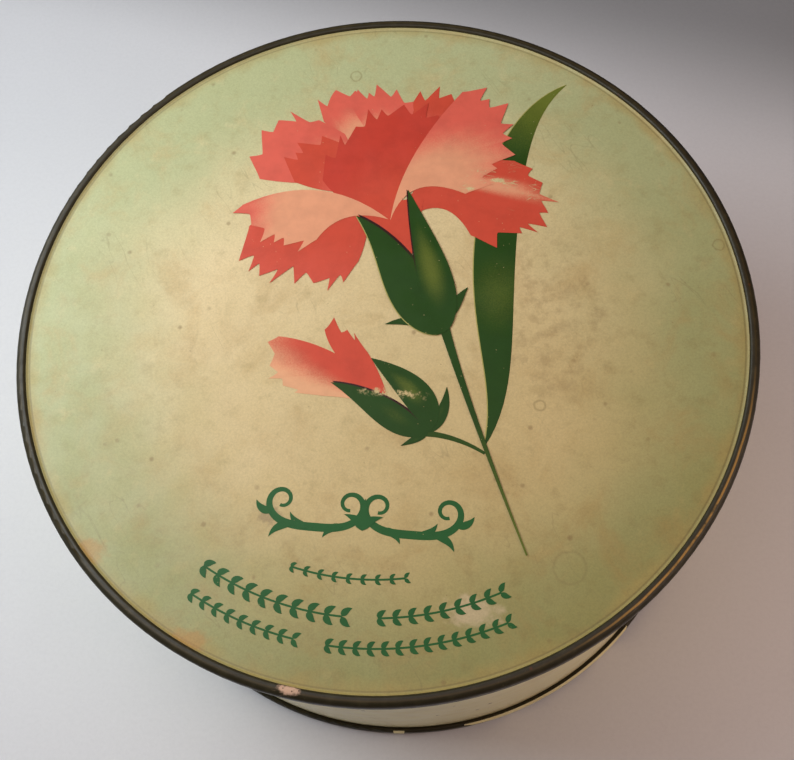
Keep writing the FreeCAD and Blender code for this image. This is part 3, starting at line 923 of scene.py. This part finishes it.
def waxed_finish(tone):
    """Waxed paper: clouded, with pressed creases."""
    f = Finish("waxed_paper")
    cloud = f.patches(9.0, 0.3, 0.75, 3.0, 0.6)
    base = f.mix(cloud * 0.4, tone, ink(190, 170, 126))
    crease = f.scratches(0.3, 16.0, 0.02, 2.0).most(f.scratches(1.8, 14.0, 0.02, 2.0))
    return f.surface(base, cloud * 0.12 + 0.34, crease * 0.7 + f.noise(0.8, 2.0) * 0.2, 0.08, 0.6)


def tape_finish(name, tone, run):
    """Woven tape or ribbon: ribs across its run."""
    f = Finish(name)
    along = f.x if run == "x" else f.y
    across = f.y if run == "x" else f.x
    ribs = abs(((along / 0.42).maths("FRACT") - 0.5) * 2)
    threads = abs(((across / 0.24).maths("FRACT") - 0.5) * 2)
    relief = ribs * 0.7 + threads * 0.3
    base = f.mix(relief * 0.45, tone, times(tone, 0.5))
    base = f.mix(f.patches(4.0, 0.4, 0.8, 3.0) * 0.25, base, times(tone, 1.5))
    return f.surface(
        base, f.noise(2.0) * 0.1 + (0.42 if run == "x" else 0.62), relief, 0.06, 0.8, Sheen_Weight=0.2
    )


TAPE_THICK = 0.22  # lifting tape and ribbon
TAPE_LIFT = 0.28  # the lifting tape's upper side over the foot of its room


def tape_strip(width, reach, start, height, bow, run, crown=None):
    """A tape. Row v runs along it and column u across. It lies at a height, or over a crown, and
    its middle is bowed up by a quarter of bow."""
    rows, columns = 90, 13
    v, u = np.linspace(0, 1, rows)[:, None], np.linspace(-0.5, 0.5, columns)[None]
    along = start + v * reach + 0 * u
    across = u * width + 0 * v
    rise = height + (crown(along, across) if crown else 0) + bow * 0.25 * np.cos(math.pi * u) + 0 * v
    flat = (along, across) if run == "x" else (-across, along)
    return np.stack([flat[0], flat[1], rise], axis=-1), grid_faces(rows, columns)[:, ::-1]


class TIN_OT_filling(bpy.types.Operator):
    """Finish the drum, the powder, its seal and the divider, and lay the lifting tape."""

    bl_idname = "tin.filling"
    bl_label = "Powder and divider"

    def execute(self, context):
        s = context.scene.tin_filling
        wear("powder_drum", drum_finish(s.board[:]))
        wear("powder_bed", talc_finish(s.talc[:]))
        wear("powder_seal", waxed_finish(s.waxed[:]))
        wear("divider_card", board_finish("divider_board", times(s.board, 1.15)))
        low, high = box_of("divider_tab")
        width, span = high[0] - low[0], high[1] - low[1]
        points, faces = tape_strip(width, span, low[1], low[2] + TAPE_LIFT, 0.3, "y")
        tape = new_piece("lifting_tape", points, faces, "divider",
                         tape_finish("lifting_tape", s.tape[:], "y"))
        closed_skin(tape, TAPE_THICK)
        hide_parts("divider_tab")
        return {"FINISHED"}


# ---------------------------------------------------------------- puff


def cushion_points(radius, low, high, belly, rows=40, columns=96):
    """A round pad as a turned profile. Row p goes from the pole below to the pole above; the radius
    is a power of the cosine and the height a power of the sine, so that the rim is full and both
    faces are nearly flat."""
    p = np.linspace(-QUARTER_TURN, QUARTER_TURN, rows)[:, None]
    a = np.linspace(0, FULL_TURN, columns, endpoint=False)[None]
    reach = radius * np.cos(p) ** belly
    rise = (low + high) / 2 + (high - low) / 2 * np.sign(np.sin(p)) * np.abs(np.sin(p)) ** 0.8
    return turned(reach, a, rise), grid_faces(rows, columns, closed=True)


def velour_finish(tone):
    """Short pile: tufts that lie this way and that."""
    f = Finish("velour_pile")
    tufts = f.noise(0.7, 3.0, 0.7, 0.5)
    lay = f.patches(6.0, 0.35, 0.7, 3.0, 0.6)
    base = f.mix(lay * 0.4, tone, times(tone, 0.8))
    base = f.mix(f.ramp(tufts, 0.3, 0.7) * 0.35, base, times(tone, 0.62))
    powdered = f.patches(3.0, 0.5, 0.8, 4.0, 0.7) * 0.5
    base = f.mix(powdered, base, ink(244, 240, 234))
    return f.surface(base, lay * 0.08 + 0.88, tufts, 0.5, 0.9, Sheen_Weight=0.6, Sheen_Roughness=0.4)


def satin_finish(tone):
    """Satin: fine threads one way, with a soft gloss."""
    f = Finish("satin")
    threads = f.noise(0.3, 2.0, 0.6, at=f.scaled(f.place, (1.0, 0.12, 1.0)))
    base = f.mix(f.ramp(threads, 0.3, 0.7) * 0.25, tone, times(tone, 0.72))
    base = f.mix(f.patches(8.0, 0.4, 0.75, 3.0) * 0.2, base, ink(240, 196, 180))
    return f.surface(
        base, f.ramp(threads, 0.2, 0.8) * 0.14 + 0.3, threads, 0.04, 0.7, Sheen_Weight=0.25
    )


CLOTH_VOXEL = 2.6 * MM
CLOTH_PRESSURE = 4.0
CLOTH_STIFFNESS = 20.0
CLOTH_FRAMES = 20


def swollen(piece, cap, low, high, radius):
    """Fills a pad by Blender's cloth: a remeshed copy is blown up by pressure for some frames, each
    point's motion is cut to cap, and the result is kept inside the room that the pad has."""
    remesh = piece.modifiers.new("even", "REMESH")
    remesh.mode, remesh.voxel_size = "VOXEL", CLOTH_VOXEL
    graph = bpy.context.evaluated_depsgraph_get()
    even = bpy.data.meshes.new_from_object(piece.evaluated_get(graph))
    piece.modifiers.clear()
    piece.data = even
    rest = points_of(even)
    cloth = piece.modifiers.new("filling", "CLOTH")
    cloth.settings.quality = 5
    cloth.settings.use_pressure = True
    cloth.settings.uniform_pressure_force = CLOTH_PRESSURE
    cloth.settings.effector_weights.gravity = 0.0
    cloth.settings.tension_stiffness = CLOTH_STIFFNESS
    cloth.settings.compression_stiffness = CLOTH_STIFFNESS
    for number in range(1, CLOTH_FRAMES + 1):
        bpy.context.scene.frame_set(number)
    graph = bpy.context.evaluated_depsgraph_get()
    blown = bpy.data.meshes.new_from_object(piece.evaluated_get(graph))
    piece.modifiers.clear()
    piece.data = blown
    bpy.context.scene.frame_set(1)
    step = points_of(blown) - rest
    size = np.linalg.norm(step, axis=1, keepdims=True)
    rest = rest + step * np.minimum(1, cap / np.maximum(size, 1e-12))
    reach = np.hypot(rest[:, 0], rest[:, 1])
    rest[:, :2] *= np.minimum(1, radius / np.maximum(reach, 1e-9))[:, None]
    rest[:, 2] = np.clip(rest[:, 2], low, high)
    piece.data.vertices.foreach_set("co", rest.astype(np.float32).ravel())
    piece.data.update()


def points_of(mesh):
    flat = np.zeros(len(mesh.vertices) * 3, np.float32)
    mesh.vertices.foreach_get("co", flat)
    return flat.reshape(-1, 3).astype(float)


def back_height(reach, foot, top, radius):
    """Height of the puff's back over its plan: an arc that falls steeply at the rim."""
    return foot + (top - foot) * np.sqrt(np.clip(1 - (reach / radius) ** 2.6, 0, 1))


PAD_ROOM = (0.8, 0.6)  # how far the pad is cut smaller than its room, sideways and upwards
BACK_SUNK = (0.35, 0.05)  # how far the back's arc keeps from its room's foot and top
UNDER_LIFT, UNDER_SHARE = 0.02, 0.995  # the back's flat underside: its height and its size
FOLD_DEPTH = 0.75
MIDDLE_DIP = 0.25
BAND_LIFT = 0.32  # the band's middle plane over the back's arc


def make_pad(settings):
    """The velour pad, which is cut smaller than its room and then swells into it."""
    low, high = box_of("puff_pad")
    radius = high[0]
    points, faces = cushion_points(
        radius - PAD_ROOM[0], low[2] + PAD_ROOM[1], high[2] - PAD_ROOM[1], 0.22
    )
    velour = velour_finish(settings.pile[:])
    pad = new_piece("velour_pad", points, faces, "puff", velour)
    swollen(pad, settings.swell, low[2] * MM, high[2] * MM, radius * MM)
    pad.data.materials.clear()
    pad.data.materials.append(velour)
    pad.data.polygons.foreach_set("use_smooth", np.full(len(pad.data.polygons), True))
    finer = pad.modifiers.new("finer", "SUBSURF")
    finer.levels = finer.render_levels = 1
    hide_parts("puff_pad")


def make_back(settings):
    """The satin back. Row r goes from its middle to its rim and column a round it; the height is an
    arc less the folds, which are a sine of the angle that wanders, strongest towards the rim."""
    low, high = box_of("puff_back")
    radius, foot, top = high[0], low[2], high[2]
    rows, columns = 44, 8 * settings.gathers
    r = np.linspace(0, 1, rows)[:, None] ** 0.8
    a = np.linspace(0, FULL_TURN, columns, endpoint=False)[None]
    strength = smooth(r, 0.35, 0.95) * smooth(r, 1.0, 0.985)
    wander = 0.35 * np.sin(3 * a + 1.0) + 0.5 * np.sin(5 * a + 2.2)
    folds = np.abs(np.sin(settings.gathers / 2 * a + wander)) ** 0.8
    reach = r * radius
    rise = back_height(reach, foot + BACK_SUNK[0], top - BACK_SUNK[1], radius)
    rise = rise - FOLD_DEPTH * strength * folds - MIDDLE_DIP * (1 - r)
    upper = turned(reach, a, rise)
    under = upper[::-1].copy()
    under[..., 2] = foot + UNDER_LIFT
    under[..., :2] *= UNDER_SHARE
    shell = np.concatenate([upper, under])
    faces = grid_faces(len(shell), columns, closed=True)
    satin = satin_finish(settings.satin[:])
    back = new_piece("satin_back", shell, faces, "puff", satin, 1e-6)
    face_out(back)
    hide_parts("puff_back")


def make_band(settings):
    """The ribbon, laid along the arc of the back."""
    low, high = box_of("puff_ribbon")
    span, width = high[0] - low[0], high[1] - low[1]
    back_low, back_high = box_of("puff_back")

    def crown(along, across):
        near = np.hypot(along, across * 0.6)
        foot, top = back_low[2] + BACK_SUNK[0], back_high[2] - BACK_SUNK[1]
        return back_height(near, foot, top, back_high[0]) + BAND_LIFT

    points, faces = tape_strip(width, span, low[0], 0.0, 0.5, "x", crown)
    ribbon = tape_finish("satin_band", settings.ribbon[:], "x")
    band = new_piece("satin_band", points, faces, "puff", ribbon)
    closed_skin(band, TAPE_THICK)
    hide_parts("puff_ribbon")


class TIN_OT_puff(bpy.types.Operator):
    """Make the velour pad, its gathered back and the ribbon across it."""

    bl_idname = "tin.puff"
    bl_label = "Powder puff"

    def execute(self, context):
        for make in (make_pad, make_back, make_band):
            make(context.scene.tin_puff)
        return {"FINISHED"}


def face_out(piece):
    """Turns every face of a closed mesh outwards."""
    work = bmesh.new()
    work.from_mesh(piece.data)
    bmesh.ops.recalc_face_normals(work, faces=work.faces)
    work.to_mesh(piece.data)
    work.free()


# ---------------------------------------------------------------- stage


def floor_finish(tone):
    """Pale matt board with the faintest mottling, and a painted shadow that darkens it towards the back.
    """
    f = Finish("pale_floor")
    base = f.mix(f.patches(16.0, 0.3, 0.75, 3.0) * 0.06, tone, times(tone, 0.8))
    base = f.darker(base, (f.noise(0.8, 3.0, 0.7) - 0.4).clipped() * 0.12)
    # painted shadow: the floor is darkened towards the back, where a shadow falls on it
    base = f.darker(base, f.ramp(f.y + f.x * 0.2, 80.0, 126.0) * 0.6)
    return f.surface(base, 0.75, f.noise(0.7, 3.0), 0.04, 0.4)


def lamp(name, place, side, power, tone):
    """Hangs a square lamp that faces the tin's foot. The camera doesn't see it."""
    data = bpy.data.lights.new(name, "AREA")
    data.shape, data.size, data.size_y, data.energy, data.color = "RECTANGLE", side, side, power, tone
    made = bpy.data.objects.new(name, data)
    bpy.context.scene.collection.objects.link(made)
    made.location = place
    made.rotation_euler = (-Vector(place)).to_track_quat("-Z", "Y").to_euler()
    made.visible_camera = False


# name, place in metres, side in metres, share of the window's power, tone
LAMPS = (
    ("window", (-0.14, 0.02, 0.20), 0.16, 1.0, (0.92, 0.98, 1.0)),
    ("sky", (-0.42, 0.16, 0.26), 0.4, 1.1, (0.76, 0.88, 1.0)),
    ("ceiling", (0.02, 0.0, 0.45), 0.3, 0.8, (1.0, 0.76, 0.8)),
    ("room", (0.19, -0.05, 0.15), 0.14, 0.38, (1.0, 0.76, 0.62)),
)
EYE = (0.0202, -0.0696, 0.2197)
EYE_TURNS = ((15.5, "Z"), (21.645, "X"), (-10.485, "Z"))  # degrees: round the tin, down, and its roll


class TIN_OT_stage(bpy.types.Operator):
    """Lay the floor, hang the lamps and set the camera."""

    bl_idname = "tin.stage"
    bl_label = "Stage"

    def execute(self, context):
        s = context.scene.tin_stage
        scene = context.scene
        half = 1.5
        mesh = bpy.data.meshes.new("floor")
        corners = [(-half, -half, 0), (half, -half, 0), (half, half, 0), (-half, half, 0)]
        mesh.from_pydata(corners, [], [(0, 1, 2, 3)])
        mesh.materials.append(floor_finish(s.floor[:]))
        floor = bpy.data.objects.new("floor", mesh)
        scene.collection.objects.link(floor)
        world = bpy.data.worlds.new("room")
        world.use_nodes = True
        backdrop = world.node_tree.nodes["Background"]
        backdrop.inputs["Color"].default_value = (1.0, 0.86, 0.78, 1)
        backdrop.inputs["Strength"].default_value = 0.03
        scene.world = world
        for name, place, side, power, tone in LAMPS:
            lamp(name, place, side, s.window * power, tone)
        camera = bpy.data.cameras.new("camera")
        camera.lens, camera.sensor_width = s.lens, 36.0
        camera.clip_start, camera.clip_end = 0.005, 20.0
        eye = bpy.data.objects.new("camera", camera)
        scene.collection.objects.link(eye)
        stand = Matrix.Translation(EYE)
        for degrees, axis in EYE_TURNS:
            stand = stand @ Matrix.Rotation(math.radians(degrees), 4, axis)
        eye.matrix_world = stand
        scene.camera = eye
        scene.view_settings.view_transform = "Standard"
        return {"FINISHED"}


# ---------------------------------------------------------------- panel and run


GROUPS = {
    "tin_print": PrintSettings,
    "tin_metal": MetalSettings,
    "tin_filling": FillingSettings,
    "tin_puff": PuffSettings,
    "tin_stage": StageSettings,
}
STEPS = (
    TIN_OT_tinplate, TIN_OT_label, TIN_OT_spray, TIN_OT_ornament,
    TIN_OT_filling, TIN_OT_puff, TIN_OT_stage,
)


class TIN_PT_panel(bpy.types.Panel):
    """The tin's steps, in the order in which they are made."""

    bl_label = "Powder tin"
    bl_idname = "TIN_PT_panel"
    bl_space_type = "VIEW_3D"
    bl_region_type = "UI"
    bl_category = "Powder tin"

    def draw(self, context):
        for step in STEPS:
            self.layout.operator(step.bl_idname)


def register():
    for name, group in GROUPS.items():
        bpy.utils.register_class(group)
        setattr(bpy.types.Scene, name, PointerProperty(type=group))
    for kind in (*STEPS, TIN_PT_panel):
        bpy.utils.register_class(kind)


def unregister():
    for kind in (TIN_PT_panel, *reversed(STEPS)):
        bpy.utils.unregister_class(kind)
    for name, group in GROUPS.items():
        delattr(bpy.types.Scene, name)
        bpy.utils.unregister_class(group)


def main():
    """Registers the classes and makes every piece."""
    register()
    for step in STEPS:
        group, name = step.bl_idname.split(".")
        if getattr(getattr(bpy.ops, group), name)() != {"FINISHED"}:
            raise RuntimeError(f"{step.bl_label} did not finish")


if __name__ == "__main__":
    main()
